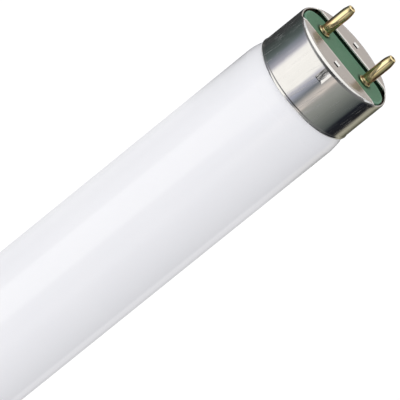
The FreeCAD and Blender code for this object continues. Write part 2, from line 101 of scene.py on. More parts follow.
def band(tree, value, start, end):
    """A mask that rises from 0 to 1 while a value goes from start to end."""
    made = add_node(tree, "MapRange", {"Value": value, "From Min": start, "From Max": end})
    return made.outputs["Result"]


def spread(tree, value, low, high):
    """Spread a value that runs from 0 to 1 over another range."""
    made = add_node(tree, "MapRange", {"Value": value, "To Min": low, "To Max": high})
    return made.outputs["Result"]


def ramp(tree, factor, stops):
    """A colour ramp: each stop is a place from 0 to 1 and a colour."""
    made = tree.nodes.new("ShaderNodeValToRGB")
    elements = made.color_ramp.elements
    while len(elements) < len(stops):
        elements.new(0.5)
    for element, (place, colour) in zip(elements, stops):
        element.position = place
        element.color = (*colour, 1.0)
    tree.links.new(factor, made.inputs["Fac"])
    return made.outputs["Color"]


BLACK, WHITE = (0, 0, 0), (1, 1, 1)
print("helpers for masks ready")

# %% [markdown]
# ## Drawn lines, an effect that the finishes share
#
# Drawn glass, drawn sheet and drawn wire all carry fine lines along the direction in which they
# were pulled. The lines could be painted on unwrapped surfaces. Here a noise is simply squeezed
# instead: its coordinates are multiplied by a large number across the lines and by a small one
# along them. Because the noise is solid, it has no seam. The effect is a node group, built once and
# placed in every material with its own values.

# %% Group: drawn lines
def new_group(name, inputs, outputs):
    """An empty node group with named inputs and outputs."""
    group = bpy.data.node_groups.new(name, "ShaderNodeTree")
    for label, kind in inputs:
        group.interface.new_socket(label, in_out="INPUT", socket_type="NodeSocket" + kind)
    for label in outputs:
        group.interface.new_socket(label, in_out="OUTPUT", socket_type="NodeSocketFloat")
    return group, group.nodes.new("NodeGroupInput"), group.nodes.new("NodeGroupOutput")


drawn_lines, source, result = new_group(
    "drawn_lines", [("Position", "Vector"), ("Lines per metre", "Vector")], ["Fine", "Broad"])
squeezed = add_node(drawn_lines, "VectorMath", operation="MULTIPLY", inputs={
    0: source.outputs["Position"], 1: source.outputs["Lines per metre"]})
fine = add_node(drawn_lines, "TexNoise", {
    "Vector": squeezed.outputs[0], "Scale": 1.0, "Detail": 3.0, "Roughness": 0.6})
broad = add_node(drawn_lines, "TexNoise", {"Vector": squeezed.outputs[0], "Scale": 0.21, "Detail": 1.0})
plug(drawn_lines, result.inputs["Fine"], fine.outputs["Fac"])
plug(drawn_lines, result.inputs["Broad"], broad.outputs["Fac"])
print(drawn_lines.name, "has", len(drawn_lines.nodes), "nodes")

# %% [markdown]
# ## Cloudiness, the second shared effect
#
# No real surface has one even colour: powder lies thicker in one place, plastic is never quite
# mixed, metal dulls in patches. A picture of such a surface could be laid over the piece. Two sizes
# of noise do as well and never repeat: broad clouds, and grains eleven times finer.

# %% Group: cloudiness
GRAINS_PER_CLOUD = 11.0
cloudiness, source, result = new_group(
    "cloudiness", [("Position", "Vector"), ("Clouds per metre", "Float")], ["Clouds", "Grains"])
per_metre = source.outputs["Clouds per metre"]
finer = math_node(cloudiness, "MULTIPLY", per_metre, GRAINS_PER_CLOUD)
for label, scale in (("Clouds", per_metre), ("Grains", finer)):
    noise = add_node(cloudiness, "TexNoise", {
        "Vector": source.outputs["Position"], "Scale": scale, "Detail": 2.0})
    plug(cloudiness, result.inputs[label], noise.outputs["Fac"])
print(cloudiness.name, "has", len(cloudiness.nodes), "nodes")

# %% [markdown]
# ## Helpers for finishes
#
# Nearly every finish here is made in the same way: shared groups give patterns, the patterns mix
# two or three colours, and one of them raises and lowers the surface a little. A bump only bends
# the light. That is enough for marks that are finer than the thickness of a hair. All larger shapes
# are in the solids.

# %% Helpers: place a group, mix, bump
def add_group(tree, group, inputs):
    """Place a node group in a material."""
    made = tree.nodes.new("ShaderNodeGroup")
    made.node_tree = group
    for key, value in inputs.items():
        plug(tree, made.inputs[key], value)
    return made


def blend(tree, factor, first, second):
    """A colour between two colours."""
    made = add_node(tree, "Mix", {"Factor": factor}, data_type="RGBA")
    plug(tree, made.inputs["A"], first)
    plug(tree, made.inputs["B"], second)
    return made.outputs["Result"]


def between(tree, factor, first, second):
    """A value between two values."""
    return add_node(tree, "Mix", {"Factor": factor, "A": first, "B": second}).outputs["Result"]


def bump(tree, height, strength, distance):
    """A normal that follows small ups and downs of the surface."""
    made = add_node(tree, "Bump", {"Height": height, "Strength": strength, "Distance": distance})
    return made.outputs[0]


def surface(tree, output, inputs):
    """Give a material one Principled shader with these inputs."""
    shader = add_node(tree, "BsdfPrincipled", inputs)
    plug(tree, output.inputs["Surface"], shader.outputs[0])


print("helpers for finishes ready")

# %% [markdown]
# ## White glass
#
# The bulb is clear glass with a white powder coating on its inside. Light goes in, is scattered by
# the powder and comes out again, and the smooth outside adds a clear gloss. A transparent shell
# over a second, powdery shell would show that too, but it costs render time and looks the same. One
# white body with the gloss of glass is enough, and the Principled shader is that already. The
# powder is never quite even, and drawn glass has faint lines along the tube.

# %% Material: white glass
THIN_POWDER = (0.845, 0.848, 0.87, 1)
THICK_POWDER = (0.885, 0.885, 0.898, 1)
glass, tree, output = new_material("white_glass")
place = object_place(tree)
powder = add_group(tree, cloudiness, {"Position": place, "Clouds per metre": 90.0})
lines = add_group(tree, drawn_lines, {"Position": place, "Lines per metre": (7.0, 420.0, 420.0)})
uneven = math_node(tree, "ADD", spread(tree, powder.outputs["Clouds"], 0.0, 0.7),
                   spread(tree, lines.outputs["Broad"], 0.0, 0.3))
surface(tree, output, {
    "Base Color": blend(tree, uneven, THIN_POWDER, THICK_POWDER),
    "Roughness": spread(tree, lines.outputs["Fine"], 0.01, 0.05),
    "Normal": bump(tree, lines.outputs["Broad"], 0.05, 0.05 * MM),
    "IOR": 1.5,
})
print(glass.name, "has", len(tree.nodes), "nodes")

# %% [markdown]
# ## Drawn aluminium
#
# The cap is pressed from thin bright sheet. Its side keeps fine lines along the tube from the tool
# that drew it into a cup, and its flat face is duller, with the lines of the rolled sheet running
# along the slot. Two materials on two sets of faces could show this. One material does both here: a
# mask finds the flat face by its place along the tube and mixes the two patterns, so no face of the
# solid has to be picked out.

# %% Aluminium: lines on the side and on the face
aluminium, tree, output = new_material("cap_aluminium")
place = object_place(tree)
parts = add_node(tree, "SeparateXYZ", {0: place})
from_middle = math_node(tree, "ABSOLUTE", parts.outputs["X"])
on_face = band(tree, from_middle, FACE - 0.12 * MM, FACE - 0.02 * MM)
side = add_group(tree, drawn_lines, {"Position": place, "Lines per metre": (90.0, 2600.0, 2600.0)})
sheet = add_group(tree, drawn_lines, {"Position": place, "Lines per metre": (2600.0, 160.0, 2600.0)})
dull = add_group(tree, cloudiness, {"Position": place, "Clouds per metre": 260.0})
fine = between(tree, on_face, side.outputs["Fine"], sheet.outputs["Fine"])
print("lines on the side and on the face:", len(tree.nodes), "nodes so far")

# %% [markdown]
# ## Scratches and the edge of the slot
#
# Hands and packing leave a few scratches on the side of the cap, a little slanted. Along the slot
# the punch leaves a strip of bare metal, and the cut through the thickness of the sheet is rough.
# Both are painted brighter than the face, partly as bare metal and partly as a painted highlight that
# stands in for a rounder edge. Scratches could be thin grooves in the mesh. At this size a second set
# of drawn lines, turned by a few degrees and kept only where it is strongest, looks the same. The
# strip and the cut are masks of the distance from the middle of the slot.

# %% Aluminium: scratches and the edge of the slot
SCRATCH_SLANT = math.radians(9)
SLOT_EDGE = 5.3 * MM
slanted = add_node(tree, "Mapping", {"Vector": place, "Rotation": (0.0, 0.0, SCRATCH_SLANT)})
marks = add_group(tree, drawn_lines, {
    "Position": slanted.outputs[0], "Lines per metre": (38.0, 1900.0, 1900.0)})
scratched = ramp(tree, marks.outputs["Fine"], [(0.5, BLACK), (0.68, WHITE)])
off_slot = math_node(tree, "ABSOLUTE", parts.outputs["Z"])
bare_highlight_strip = band(tree, off_slot, SLOT_EDGE + 0.8 * MM, SLOT_EDGE + 0.2 * MM)
bare_and_highlit = math_node(tree, "MULTIPLY", bare_highlight_strip, on_face)
near_face = band(tree, from_middle, FACE - 0.5 * MM, FACE - 0.4 * MM)
in_sheet = math_node(tree, "SUBTRACT", near_face, on_face)
cut_edge = band(tree, off_slot, SLOT_EDGE + 0.25 * MM, SLOT_EDGE + 0.1 * MM)
sheared = math_node(tree, "MULTIPLY", cut_edge, in_sheet)
print("the slot's edges are", round(SLOT_EDGE / MM, 2), "mm from its middle")

# %% [markdown]
# ## Marks and painted shade in the dents
#
# Two dents are pressed into the side of each cap to hold the insulator. The dents are in the solid,
# and dark and bright strokes are painted in them: partly marks of the tool, partly painted shade and
# painted reflection of the dent's slope. They could be a decal on each dent. A mask is simpler:
# behind the rim, the outside of the cap lies deeper than its own radius only in a dent.
# Each dent is steep on one side. The strokes stop short of it, so that it stays bright. The four
# dents are one dent turned about the axis and end for end, and the sign of X times Z turns the mask
# with them.

# %% Aluminium: strokes of the tool, with painted shade, in the dents
CAP_RADIUS = 12.4 * MM
# Painted shade and painted reflection: dark and bright strokes on the dent's slope, over marks of the
# tool.
SHADE_STROKE = (0.16, 0.17, 0.18)
REFLECTION_STROKE = (0.86, 0.88, 0.92)
flattened = add_node(tree, "VectorMath", {0: place, 1: (0.0, 1.0, 1.0)}, operation="MULTIPLY")
off_axis = length_of(tree, flattened.outputs[0])
sunk = band(tree, off_axis, CAP_RADIUS - 0.01 * MM, CAP_RADIUS - 0.04 * MM)
behind_rim = band(tree, from_middle, FACE - 1.0 * MM, FACE - 1.2 * MM)
dented = math_node(tree, "MULTIPLY", sunk, behind_rim)
quarter = math_node(tree, "SIGN", math_node(tree, "MULTIPLY", parts.outputs["X"], parts.outputs["Z"]))
across_dent = math_node(tree, "MULTIPLY", quarter, parts.outputs["Y"])
in_dent = math_node(tree, "MULTIPLY", dented, band(tree, across_dent, -0.98 * MM, -0.86 * MM))
strokes = add_group(tree, drawn_lines, {"Position": place, "Lines per metre": (700.0, 3300.0, 3300.0)})
tool_strokes_and_shade = ramp(tree, strokes.outputs["Fine"], [(0.42, SHADE_STROKE), (0.58, REFLECTION_STROKE)])
print("dents lie inside a radius of", round(CAP_RADIUS / MM, 2), "mm")

# %% [markdown]
# ## Join the parts of the aluminium
#
# Now the masks are put to use. Colour goes from dull to clean metal in clouds, darker in the lines,
# streaked dark and bright in the dents as tool marks, painted shade and painted reflection, and
# bright along the slot as bare metal and a painted highlight. Roughness is what makes metal look
# drawn, scratched or polished, so the lines, the scratches, the face and the cut edge change it too.
# Small waves in the sheet bend the reflections a little, so that they look like those in thin metal
# and not like those in a machined ring.

# %% Material: cap aluminium
DULL_METAL = (0.65, 0.65, 0.645, 1)
CLEAN_METAL = (0.75, 0.75, 0.74, 1)
LINE_METAL = (0.5, 0.49, 0.48, 1)
# Bare metal and a painted highlight: brighter metal along the slot and on its cut edge.
BARE_HIGHLIGHT_METAL = (0.95, 0.95, 0.94, 1)
metal = blend(tree, dull.outputs["Clouds"], DULL_METAL, CLEAN_METAL)
lined_metal = blend(tree, spread(tree, fine, 0.0, 0.3), metal, LINE_METAL)
stroked_shaded_metal = blend(tree, in_dent, lined_metal, tool_strokes_and_shade)
worn_highlit_metal = blend(tree, math_node(tree, "MAXIMUM", bare_and_highlit, sheared), stroked_shaded_metal, BARE_HIGHLIGHT_METAL)
side_rough = math_node(tree, "ADD", spread(tree, side.outputs["Fine"], 0.02, 0.16),
                       spread(tree, scratched, 0.0, 0.22))
face_rough = spread(tree, sheet.outputs["Fine"], 0.24, 0.42)
smooth = between(tree, on_face, side_rough, face_rough)
ribs = math_node(tree, "ADD", spread(tree, fine, 0.0, 0.12),
                 spread(tree, side.outputs["Broad"], 0.0, 0.8))
surface(tree, output, {
    "Base Color": worn_highlit_metal,
    "Roughness": math_node(tree, "MAXIMUM", smooth, spread(tree, sheared, 0.0, 0.65)),
    "Metallic": 1.0,
    "Normal": bump(tree, math_node(tree, "ADD", ribs, dull.outputs["Clouds"]), 0.5, 0.04 * MM),
})
print(aluminium.name, "has", len(tree.nodes), "nodes")

# %% [markdown]
# ## Green plastic
#
# The insulator is moulded from a dull green thermoset, filled with a pale powder. It is satin, so
# its gloss is low, and the filler shows as fine specks. Specks could be scattered as tiny pieces.
# The brightest grains of the shared cloudiness are enough, because they are no larger than a pixel
# of the picture.

# %% Green plastic: body and specks
DARK_GREEN = (0.077, 0.207, 0.114, 1)
PALE_GREEN = (0.112, 0.256, 0.157, 1)
SPECK_GREEN = (0.22, 0.36, 0.25, 1)
green, tree, output = new_material("green_plastic")
place = object_place(tree)
filler = add_group(tree, cloudiness, {"Position": place, "Clouds per metre": 420.0})
body = blend(tree, filler.outputs["Clouds"], DARK_GREEN, PALE_GREEN)
specks = ramp(tree, filler.outputs["Grains"], [(0.55, BLACK), (0.72, WHITE)])
speckled = blend(tree, spread(tree, specks, 0.0, 0.3), body, SPECK_GREEN)
print("green body with specks:", len(tree.nodes), "nodes so far")

# %% [markdown]
# ## Painted highlight on the edges, and painted shade in the groove
#
# The rounded edge of the bar is painted paler, as a painted highlight. The groove around the bar is
# painted dark along its sides, as painted shade, and brown towards its ends. Ambient occlusion could
# find such places, but it is slow.
# The bar is a rectangle with round corners, and the distance from such an outline is easy: take off
# the straight part along Y and Z, and the rest is the distance from a corner's centre.

# %% Green plastic: edges and groove
BAR_HALF = (11.65 * MM, 4.65 * MM)
BAR_CORNER = 4.0 * MM
# Painted highlight: a paler green on the bar's rounded edge.
EDGE_HIGHLIGHT_GREEN = (0.22, 0.42, 0.3, 1)
# Painted shade: the groove is dark along the bar's sides and brown towards its ends.
GROOVE_SHADE_GREEN = (0.008, 0.036, 0.017, 1)
GROOVE_END_BROWN = (0.13, 0.07, 0.045, 1)
parts = add_node(tree, "SeparateXYZ", {0: place})
past = {}
for axis, half in zip("YZ", BAR_HALF):
    aside = math_node(tree, "ABSOLUTE", parts.outputs[axis])
    past[axis] = math_node(tree, "MAXIMUM", math_node(tree, "SUBTRACT", aside, half - BAR_CORNER), 0.0)
from_corner = length_of(tree, add_node(tree, "CombineXYZ", past).outputs[0])
from_edge = math_node(tree, "SUBTRACT", from_corner, BAR_CORNER)
near_edge = band(tree, from_edge, -0.6 * MM, -0.15 * MM)
highlit_edge = blend(tree, spread(tree, near_edge, 0.0, 0.6), speckled, EDGE_HIGHLIGHT_GREEN)
groove_shade = blend(tree, band(tree, past["Y"], 2.0 * MM, 3.5 * MM), GROOVE_SHADE_GREEN, GROOVE_END_BROWN)
print("the bar is", [round(2 * half / MM, 2) for half in BAR_HALF], "mm")

# %% [markdown]
# ## Painted shade round the pins, and the finished plastic
#
# Where the collar of a pin meets the bar, a dark ring is painted on the plastic as painted shade. It
# is one more mask: the distance from the middle of the pin. The painted shade of the groove comes
# last, because it covers everything outside the bar's edge.

# %% Material: green plastic
PIN_OFFSET = 6.35 * MM
# Painted shade: a dark ring on the bar round the collar of each pin.
PIN_CONTACT_SHADE = (0.008, 0.03, 0.014, 1)
off_middle = math_node(tree, "ABSOLUTE", parts.outputs["Y"])
to_pin = add_node(tree, "CombineXYZ", {
    "Y": math_node(tree, "SUBTRACT", off_middle, PIN_OFFSET), "Z": parts.outputs["Z"]})
pin_shade_ring = band(tree, length_of(tree, to_pin.outputs[0]), 2.1 * MM, 1.5 * MM)
shade_ringed = blend(tree, spread(tree, pin_shade_ring, 0.0, 0.85), highlit_edge, PIN_CONTACT_SHADE)
surface(tree, output, {
    "Base Color": blend(tree, band(tree, from_edge, 0.02 * MM, 0.15 * MM), shade_ringed, groove_shade),
    "Roughness": spread(tree, filler.outputs["Grains"], 0.42, 0.6),
    "Specular IOR Level": 0.2,
    "Normal": bump(tree, filler.outputs["Grains"], 0.15, 0.02 * MM),
})
print(green.name, "has", len(tree.nodes), "nodes")

# %% [markdown]
# ## Brass
#
# The pins are drawn from brass tube. They are bright, with fine lines along the pin, and a shade
# deeper in patches where the metal has begun to dull. One even colour from a table of metals could
# be used. Two close shades, mixed in clouds, look more like metal that has been handled.

# %% Brass: bright metal
LEAST_BRIGHT = (0.91, 0.75, 0.38, 1)
MOST_BRIGHT = (0.98, 0.86, 0.53, 1)
brass, tree, output = new_material("pin_brass")
place = object_place(tree)
lines = add_group(tree, drawn_lines, {"Position": place, "Lines per metre": (220.0, 4200.0, 4200.0)})
patches = add_group(tree, cloudiness, {"Position": place, "Clouds per metre": 700.0})
bright = blend(tree, patches.outputs["Clouds"], LEAST_BRIGHT, MOST_BRIGHT)
print("bright brass:", len(tree.nodes), "nodes so far")

# %% [markdown]
# ## Tarnish and painted shade on the pins
#
# Brass turns brown where nothing rubs it, near the collar more than at the tip. The brown is also
# painted on the two flanks of each pin and up from the collar, as painted shade that darkens the
# green of the bar in the metal. Tarnish could be a second shader mixed over the first. Tarnished
# brass is still metal, so a browner colour, and a little less polish near the collar, are enough.
# The masks use the place along the pin and the distance from its middle, and leave the collar bright.

# %% Material: pin brass
# Tarnish, and painted shade on the flanks of the pins and up from the collar.
TARNISH_SHADE_BROWN = (0.46, 0.19, 0.075, 1)
parts = add_node(tree, "SeparateXYZ", {0: place})
from_middle = math_node(tree, "ABSOLUTE", parts.outputs["X"])
past_collar = band(tree, from_middle, FACE - 0.35 * MM, FACE)
low_on_pin = band(tree, from_middle, FACE + 2.4 * MM, FACE + 0.9 * MM)
above_collar = math_node(tree, "MULTIPLY", low_on_pin, past_collar)
beside_axis = math_node(tree, "ABSOLUTE", parts.outputs["Y"])
off_pin = math_node(tree, "ABSOLUTE", math_node(tree, "SUBTRACT", beside_axis, PIN_OFFSET))
creeping_shade = math_node(tree, "MULTIPLY", band(tree, from_middle, FACE + 4.2 * MM, FACE + 1.8 * MM),
                     band(tree, off_pin, 0.3 * MM, 0.75 * MM))
flanks = math_node(tree, "MAXIMUM", band(tree, off_pin, 0.75 * MM, 1.05 * MM), creeping_shade)
flank_shade = math_node(tree, "MULTIPLY", flanks, past_collar)
tarnish_and_shade = math_node(tree, "MAXIMUM", spread(tree, above_collar, 0.0, 0.15),
                      spread(tree, flank_shade, 0.0, 0.8))
surface(tree, output, {
    "Base Color": blend(tree, tarnish_and_shade, bright, TARNISH_SHADE_BROWN),
    "Roughness": math_node(tree, "ADD", spread(tree, lines.outputs["Fine"], 0.03, 0.13),
                           spread(tree, above_collar, 0.0, 0.15)),
    "Metallic": 1.0,
    "Normal": bump(tree, lines.outputs["Fine"], 0.1, 0.01 * MM),
})
print(brass.name, "has", len(tree.nodes), "nodes")

# %% [markdown]
# ## Cement
#
# A ring of baked cement holds the cap on the glass. It is out of sight, but in a reusable part it
# needs a finish too. One plain brown could do. The grains of the shared cloudiness make it gritty
# in a few lines, in colour and in relief.

# %% Material: cement
DARK_MORTAR = (0.25, 0.19, 0.12, 1)
PALE_MORTAR = (0.45, 0.36, 0.25, 1)
cement, tree, output = new_material("cement")
grit = add_group(tree, cloudiness, {"Position": object_place(tree), "Clouds per metre": 900.0})
surface(tree, output, {
    "Base Color": blend(tree, grit.outputs["Grains"], DARK_MORTAR, PALE_MORTAR),
    "Roughness": spread(tree, grit.outputs["Clouds"], 0.8, 0.95),
    "Normal": bump(tree, grit.outputs["Grains"], 0.5, 0.05 * MM),
})
print(cement.name, "has", len(tree.nodes), "nodes")

# %% [markdown]
# ## Lead wires
#
# A lead wire runs from the glass into each pin, and its end shows as a dark spot in the tip of the
# pin. Wire is drawn, as the glass and the sheet are, so the shared drawn lines give its colour and
# its roughness. A bump could be added, but on a wire this thin it would not show.

# %% Material: lead wire
DARK_WIRE = (0.34, 0.31, 0.28, 1)
PALE_WIRE = (0.5, 0.48, 0.45, 1)
lead, tree, output = new_material("lead_wire")
lines = add_group(tree, drawn_lines, {
    "Position": object_place(tree), "Lines per metre": (300.0, 9000.0, 9000.0)})
surface(tree, output, {
    "Base Color": blend(tree, lines.outputs["Broad"], DARK_WIRE, PALE_WIRE),
    "Metallic": 1.0,
    "Roughness": spread(tree, lines.outputs["Fine"], 0.25, 0.45),
})
print(lead.name, "has", len(tree.nodes), "nodes")

# %% [markdown]
# ## Dress the pieces
#
# Each solid of the tube is one object and gets one finish. They could be dressed one by one, but
# the last word of a piece's name already says what it is, so a small table turns that word into a
# finish.

# %% Dress the pieces
FINISH_OF = {"tube": glass, "shell": aluminium, "insulator": green,
             "pin": brass, "ring": cement, "lead": lead}
for name, piece in nodes.items():
    finish = FINISH_OF[name.rsplit("_", 1)[-1]]
    piece.data.materials.clear()
    piece.data.materials.append(finish)
    print(name, "is finished in", finish.name)

# %% [markdown]
# ## Paper and cards of the studio
#
# The studio is made of a floor, a tent, and cards for the metal to reflect. Planes could be added
# with the editor's own operator and then moved. Here each piece is built with bmesh at its place.

# %% Helpers: studio cards
def staged(name, made):
    """Turn a finished mesh into an object that belongs to the studio."""
    mesh = bpy.data.meshes.new(name)
    made.to_mesh(mesh)
    made.free()
    card = bpy.data.objects.new(name, mesh)
    bpy.context.scene.collection.objects.link(card)
    return card


def flat_card(name, centre, length, width, turn=Matrix.Identity(4)):
    """A flat card of this size; a turn can stand it up."""
    made = bmesh.new()
    placed = Matrix.Translation(centre) @ turn @ Matrix.Diagonal((length, width, 1, 1))
    bmesh.ops.create_grid(made, x_segments=1, y_segments=1, size=0.5, matrix=placed)
    return staged(name, made)


print("helpers for the studio ready")

# %% [markdown]
# ## Floor
#
# The tube is photographed high above a white sweep, so no shadow shows beside it. A large pale
# floor far below does the same. It has to look white to the camera and in the metal without more
# light on the object, so its material adds a little glow of its own, but only for rays that come
# from the camera, a reflection or clear glass. For all other rays it is ordinary paper that takes
# the shadow.

# %% Floor
FLOOR_LEVEL = -0.36
FLOOR_WIDTH = 18
FLOOR_GLOW = 0.24
PAPER_WHITE = (0.82, 0.82, 0.82, 1)
floor = flat_card("floor", (0, 0, FLOOR_LEVEL), FLOOR_WIDTH, FLOOR_WIDTH)
paper, tree, output = new_material("floor_paper")
diffuse = add_node(tree, "BsdfDiffuse", {"Color": PAPER_WHITE})
path = add_node(tree, "LightPath")
seen = math_node(tree, "MAXIMUM", path.outputs["Is Camera Ray"], path.outputs["Is Glossy Ray"])
seen = math_node(tree, "MAXIMUM", seen, path.outputs["Is Transmission Ray"])
glow = add_node(tree, "Emission", {"Strength": math_node(tree, "MULTIPLY", seen, FLOOR_GLOW)})
both = add_node(tree, "AddShader", {0: diffuse.outputs[0], 1: glow.outputs[0]})
plug(tree, output.inputs["Surface"], both.outputs[0])
floor.data.materials.append(paper)
print("floor at", FLOOR_LEVEL, "m")

# %% [markdown]
# ## Light tent
#
# Polished metal shows nothing but its surroundings, so a photographer puts it into a tent of cloth
# and paper and decides strip by strip what the metal will show: a wide white strip for the
# highlight, grey for the body, black along the edges so that the outline stands out from a white
# background. The tent could be many separate cards. Here it is one open sleeve around the object, a
# circle that is extruded along X. Only reflections see it. It neither lights the object nor hides
# it from the camera.

# %% Tent
TENT_RADIUS = 0.3
TENT_HALF_LENGTH = 0.43
TENT_STRIPS = 128


def for_reflections_only(card):
    """Let nothing but glossy rays see this card."""
    card.visible_camera = False
    card.visible_diffuse = False
    card.visible_transmission = False
    card.visible_volume_scatter = False
    card.visible_shadow = False


made = bmesh.new()
bmesh.ops.create_circle(made, radius=TENT_RADIUS, segments=TENT_STRIPS)
upright = Matrix.Translation((-TENT_HALF_LENGTH, 0, 0)) @ Matrix.Rotation(math.radians(90), 4, "Y")
bmesh.ops.transform(made, matrix=upright, verts=made.verts)
grown = bmesh.ops.extrude_edge_only(made, edges=made.edges[:])
far_ring = [item for item in grown["geom"] if isinstance(item, bmesh.types.BMVert)]
bmesh.ops.translate(made, vec=(2 * TENT_HALF_LENGTH, 0, 0), verts=far_ring)
tent = staged("light_tent", made)
for_reflections_only(tent)
print("tent of", len(tent.data.polygons), "strips")

# %% [markdown]
# ## Strips of the tent cloth
#
# The brightness of the cloth depends on the direction around the axis of the tube: 0 degrees is
# straight up, and plus is towards the front, -Y. It also changes along the tube, because the glass,
# the side of the cap and its rim each need their own strips: one zone is over the glass, one over
# the cap and one beyond it. Each zone is a list of stops, an angle and the light there. A value of
# 1 is white.

# %% Strips of the tent cloth
OVER_GLASS = [
    (178, (0.45, 0.45, 0.45)), (150, (0.6, 0.6, 0.6)), (129, (0.85, 0.85, 0.83)),
    (122, (0.15, 0.15, 0.15)), (90, (0.1, 0.1, 0.11)), (36, (0.4, 0.4, 0.42)),
    (24, (0.7, 0.7, 0.72)), (8, (0.3, 0.3, 0.33)), (-13, (0.4, 0.4, 0.43)),
    (-16, (1.5, 1.48, 1.4)), (-62, (1.5, 1.48, 1.4)), (-67, (0.3, 0.3, 0.32)),
    (-100, (0.25, 0.25, 0.27)), (-120, (0.75, 0.75, 0.77)), (-176, (0.85, 0.85, 0.86)),
]
OVER_CAP = [
    (178, (0.10, 0.10, 0.07)), (152, (0.13, 0.125, 0.09)), (143, (0.36, 0.345, 0.26)),
    (134, (0.52, 0.495, 0.38)), (128, (0.4, 0.375, 0.3)), (122, (0.02, 0.02, 0.022)),
    (95, (0.018, 0.02, 0.028)), (90, (0.09, 0.105, 0.103)), (58, (0.275, 0.29, 0.265)),
    (36, (0.405, 0.415, 0.385)), (29, (0.5, 0.48, 0.45)), (24, (0.9, 0.81, 0.735)),
    (20.5, (0.93, 0.83, 0.755)), (17.5, (0.73, 0.67, 0.63)), (14.5, (0.49, 0.47, 0.45)),
    (7.5, (0.22, 0.24, 0.265)), (0, (0.48, 0.5, 0.6)), (-8, (0.66, 0.65, 0.74)),
    (-13.5, (1.33, 1.3, 1.24)), (-60.5, (1.34, 1.3, 1.25)), (-65, (0.95, 0.92, 0.97)),
    (-69, (0.57, 0.56, 0.63)), (-80, (0.34, 0.36, 0.42)), (-91, (0.155, 0.19, 0.19)),
    (-101, (0.105, 0.13, 0.125)), (-113, (0.083, 0.103, 0.098)), (-130, (0.06, 0.065, 0.065)),
    (-176, (0.05, 0.05, 0.05)),
]
BEYOND_CAP = [(degrees, (level, level, level)) for degrees, level in (
    (178, 0.3), (128, 0.28), (118, 0.1), (100, 0.09), (80, 0.21), (57, 0.25), (37, 0.22),
    (18, 0.08), (0, 0.09), (-18, 0.16), (-37, 0.3), (-57, 0.4), (-80, 0.27), (-107, 0.16),
    (-128, 0.09), (-176, 0.06))]
print("stops over the glass, over the cap and beyond:", len(OVER_GLASS), len(OVER_CAP), len(BEYOND_CAP))

# %% [markdown]
# ## Tent cloth
#
# The cloth glows by itself, so its material is one Emission shader. An image wrapped round the tent
# could hold the strips. A colour ramp over the angle is easier to change: one ramp for each zone,
# and two masks along the tube that fade from one zone to the next.

# %% Tent cloth
GLASS_ZONE_ENDS, CAP_ZONE_STARTS = 0.158, 0.176
CAP_ZONE_ENDS, OUTER_ZONE_STARTS = 0.31, 0.36
cloth, tree, output = new_material("tent_cloth")
parts = add_node(tree, "SeparateXYZ", {0: object_place(tree)})
angle = math_node(tree, "ARCTAN2", parts.outputs["Y"], parts.outputs["Z"])
share = band(tree, angle, -math.pi, math.pi)
over_glass, over_cap, beyond = (
    ramp(tree, share, [(0.5 - degrees / 360, colour) for degrees, colour in stops])
    for stops in (OVER_GLASS, OVER_CAP, BEYOND_CAP))
from_middle = math_node(tree, "ABSOLUTE", parts.outputs["X"])
inner = blend(tree, band(tree, from_middle, GLASS_ZONE_ENDS, CAP_ZONE_STARTS), over_glass, over_cap)
whole = blend(tree, band(tree, from_middle, CAP_ZONE_ENDS, OUTER_ZONE_STARTS), inner, beyond)
glow = add_node(tree, "Emission", {"Color": whole})
plug(tree, output.inputs["Surface"], glow.outputs[0])
tent.data.materials.append(cloth)
print("tent cloth changes between x =", GLASS_ZONE_ENDS, "and", OUTER_ZONE_STARTS, "m")

# %% [markdown]
# ## Pale card below the end
#
# The flat face of a cap looks out of the open end of the tent. Seen from above, it shows what lies
# below the end. A pale card there fills the face with an even grey. An image of a studio on the
# world could give the same, but then nothing in it could be moved by itself.

# %% Pale card below the end
LOW_CARD_PLACE = (0.61, 0, -0.2)
LOW_CARD_LENGTH, LOW_CARD_WIDTH = 0.6, 0.48


def glowing(name, stops, low, high):
    """A glow whose colour changes along Y, from low to high."""
    material, tree, output = new_material(name)
    across = add_node(tree, "SeparateXYZ", {0: object_place(tree)}).outputs["Y"]
    glow = add_node(tree, "Emission", {"Color": ramp(tree, band(tree, across, low, high), stops)})
    plug(tree, output.inputs["Surface"], glow.outputs[0])
    return material


low_card = flat_card("low_card", LOW_CARD_PLACE, LOW_CARD_LENGTH, LOW_CARD_WIDTH)
low_card.data.materials.append(glowing(
    "pale_card", [(0.0, (0.61, 0.55, 0.505)), (1.0, (0.66, 0.61, 0.575))],
    -LOW_CARD_WIDTH / 2, LOW_CARD_WIDTH / 2))
print(low_card.name, "is", LOW_CARD_LENGTH, "by", LOW_CARD_WIDTH, "m")

# %% [markdown]
# ## Dim wall and white oval card
#
# The rolled rim of a cap looks further out. A dim wall stands there, and just in front of it a
# white card. The rim bends their picture into one bright line and one dark line, and these two
# lines are what makes the edge look round. The white card could be a rectangle. It is an oval, so
# that the bright line grows thinner towards both ends.

# %% Dim wall and white oval card
WALL_PLACE = (1.0, 0, 0.82)
WALL_HEIGHT, WALL_WIDTH = 2.36, 4.0
WALL_STRIPS = [(0.0, 0.1), (0.16, 0.21), (0.25, 0.25), (0.35, 0.22), (0.425, 0.07), (0.5, 0.085),
               (0.575, 0.16), (0.65, 0.3), (0.75, 0.4), (0.84, 0.28), (1.0, 0.15)]
OVAL_PLACE = (0.98, 0.2, -0.1)
OVAL_HALF_HEIGHT, OVAL_HALF_WIDTH = 0.6, 0.85
OVAL_FADE_STARTS, OVAL_FADE_ENDS = -0.4, 0.3
standing = Matrix.Rotation(math.radians(90), 4, "Y")
dim_card = flat_card("dim_card", WALL_PLACE, WALL_HEIGHT, WALL_WIDTH, standing)
dim_card.data.materials.append(glowing(
    "dim_card", [(place, (level, level, level)) for place, level in WALL_STRIPS],
    -WALL_WIDTH / 2, WALL_WIDTH / 2))
made = bmesh.new()
